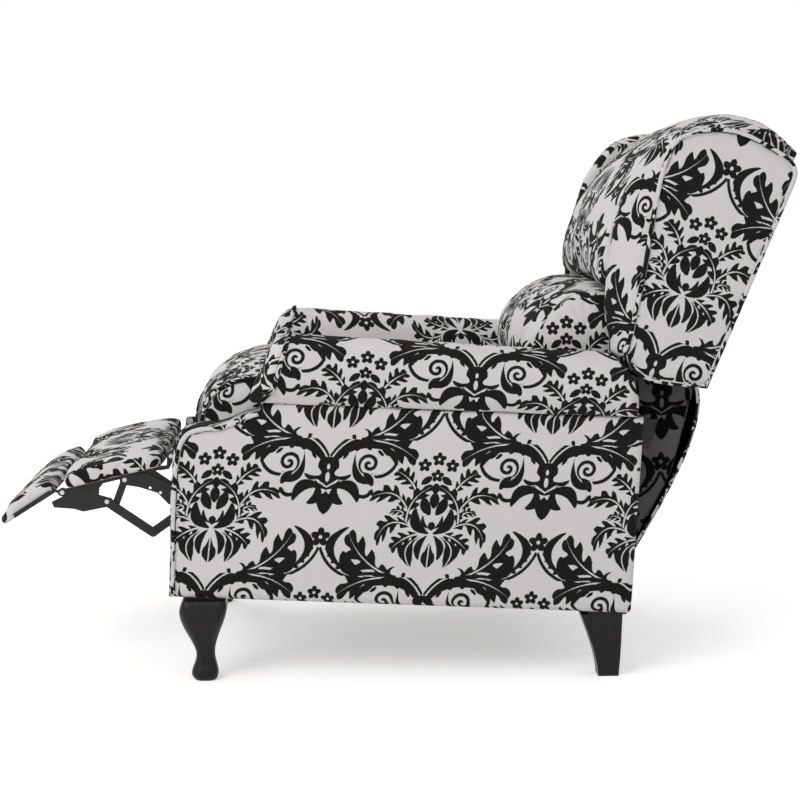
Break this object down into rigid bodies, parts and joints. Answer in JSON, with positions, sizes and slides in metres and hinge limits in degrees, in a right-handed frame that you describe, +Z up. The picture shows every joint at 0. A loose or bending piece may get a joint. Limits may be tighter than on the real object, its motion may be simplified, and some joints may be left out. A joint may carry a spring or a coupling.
{
  "type": "wingback recliner",
  "caption": "Push-back wingback recliner: tilting winged back, sliding seat, rolled arms, bowed front legs and a folding two-part footrest.",
  "frame": {"origin": "the floor under the middle of the chair's box, with the footrest out and the back leaned back", "axes": "+Z up, -Y the way the sitter looks, +X the sitter's left hand"},
  "size_m": [0.7106, 1.4237, 0.9913],
  "materials": {
    "damask_fabric": "woven damask, charcoal motif on an off-white ground",
    "welt_fabric": "piping covered in the same fabric",
    "webbing": "elastic webbing",
    "black_wood": "black lacquer, semi-gloss",
    "frame_wood": "raw sawn softwood",
    "plywood": "raw plywood",
    "black_steel": "black paint, satin",
    "bare_steel": "zinc plated"
  },
  "bodies": {
    "base": {"arm_facing_left": "damask_fabric", "arm_facing_right": "damask_fabric", "arm_pad_left": "damask_fabric", "arm_pad_right": "damask_fabric", "arm_rails": "frame_wood", "arm_welts": "welt_fabric", "corner_blocks": "frame_wood", "frame_pins": "bare_steel", "front_leg_left": "black_wood", "front_leg_right": "black_wood", "front_rail": "frame_wood", "mount_rails": "frame_wood", "rear_leg_left": "black_wood", "rear_leg_right": "black_wood", "rear_rail": "frame_wood", "rear_tube": "black_steel", "side_frame_left": "plywood", "side_frame_right": "plywood", "side_panel_left": "damask_fabric", "side_panel_right": "damask_fabric", "side_plate_left": "black_steel", "side_plate_right": "black_steel", "slide_tracks": "bare_steel"},
    "back": {"back_hinges": "black_steel", "back_rails": "frame_wood", "back_side_left": "plywood", "back_side_right": "plywood", "back_webbing": "webbing", "lumbar_cushion": "damask_fabric", "outside_back": "damask_fabric", "tail_panel": "damask_fabric", "tail_rail": "frame_wood", "upper_cushion": "damask_fabric", "wing_frames": "plywood", "wing_left": "damask_fabric", "wing_right": "damask_fabric", "wing_welts": "welt_fabric"},
    "footrest": {"bracket_rivets": "bare_steel", "footrest_board": "plywood", "footrest_bracket_left": "black_steel", "footrest_bracket_right": "black_steel", "footrest_pad": "damask_fabric"},
    "crank": {"crank_arms": "black_steel", "torque_tube": "black_steel"},
    "flip_out": {"flip_arms": "black_steel", "flip_board": "plywood", "flip_pad": "damask_fabric"},
    "front_link_left": {"front_link_left": "black_steel"},
    "front_link_right": {"front_link_right": "black_steel"},
    "guide_link_left": {"guide_link_left": "black_steel", "guide_pin_left": "bare_steel"},
    "guide_link_right": {"guide_link_right": "black_steel", "guide_pin_right": "bare_steel"},
    "seat": {"seat_cushion": "damask_fabric", "seat_front_rail": "frame_wood", "seat_rear_rail": "frame_wood", "seat_runners": "black_steel", "seat_side_rails": "frame_wood", "seat_springs": "bare_steel"}
  },
  "joints": [
    {"name": "back_recline", "type": "hinge", "parent": "base", "child": "back", "pos_m": [0, 0.218, 0.35], "axis": [1, 0, 0], "range_deg": [0, 12]},
    {"name": "seat_slide", "type": "slide", "parent": "base", "child": "seat", "axis": [0, 1, 0], "range_m": [0, 0.035]},
    {"name": "footrest_fold", "type": "hinge", "parent": "base", "child": "footrest", "pos_m": [0, -0.402, 0.388], "axis": [1, 0, 0], "range_deg": [0, 78]},
    {"name": "flip_fold", "type": "hinge", "parent": "footrest", "child": "flip_out", "pos_m": [0, -0.596, 0.3225], "axis": [1, 0, 0], "range_deg": [0, 156]},
    {"name": "crank_turn", "type": "hinge", "parent": "base", "child": "crank", "pos_m": [0, -0.321, 0.332], "axis": [1, 0, 0], "range_deg": [0, 78]},
    {"name": "front_link_turn_left", "type": "hinge", "parent": "footrest", "child": "front_link_left", "pos_m": [0, -0.517, 0.306], "axis": [1, 0, 0], "range_deg": [-78, 0]},
    {"name": "guide_link_turn_left", "type": "hinge", "parent": "footrest", "child": "guide_link_left", "pos_m": [0, -0.485, 0.345], "axis": [1, 0, 0], "range_deg": [-78, 0]},
    {"name": "front_link_turn_right", "type": "hinge", "parent": "footrest", "child": "front_link_right", "pos_m": [0, -0.517, 0.306], "axis": [1, 0, 0], "range_deg": [-78, 0]},
    {"name": "guide_link_turn_right", "type": "hinge", "parent": "footrest", "child": "guide_link_right", "pos_m": [0, -0.485, 0.345], "axis": [1, 0, 0], "range_deg": [-78, 0]}
  ],
  "couplings": [
    {"joint": "seat_slide", "follows": "back_recline", "m_per_rad": 0.16711},
    {"joint": "flip_fold", "follows": "footrest_fold", "ratio": 2},
    {"joint": "crank_turn", "follows": "footrest_fold", "ratio": 1},
    {"joint": "front_link_turn_left", "follows": "footrest_fold", "ratio": -1},
    {"joint": "guide_link_turn_left", "follows": "footrest_fold", "ratio": -1},
    {"joint": "front_link_turn_right", "follows": "footrest_fold", "ratio": -1},
    {"joint": "guide_link_turn_right", "follows": "footrest_fold", "ratio": -1}
  ]
}
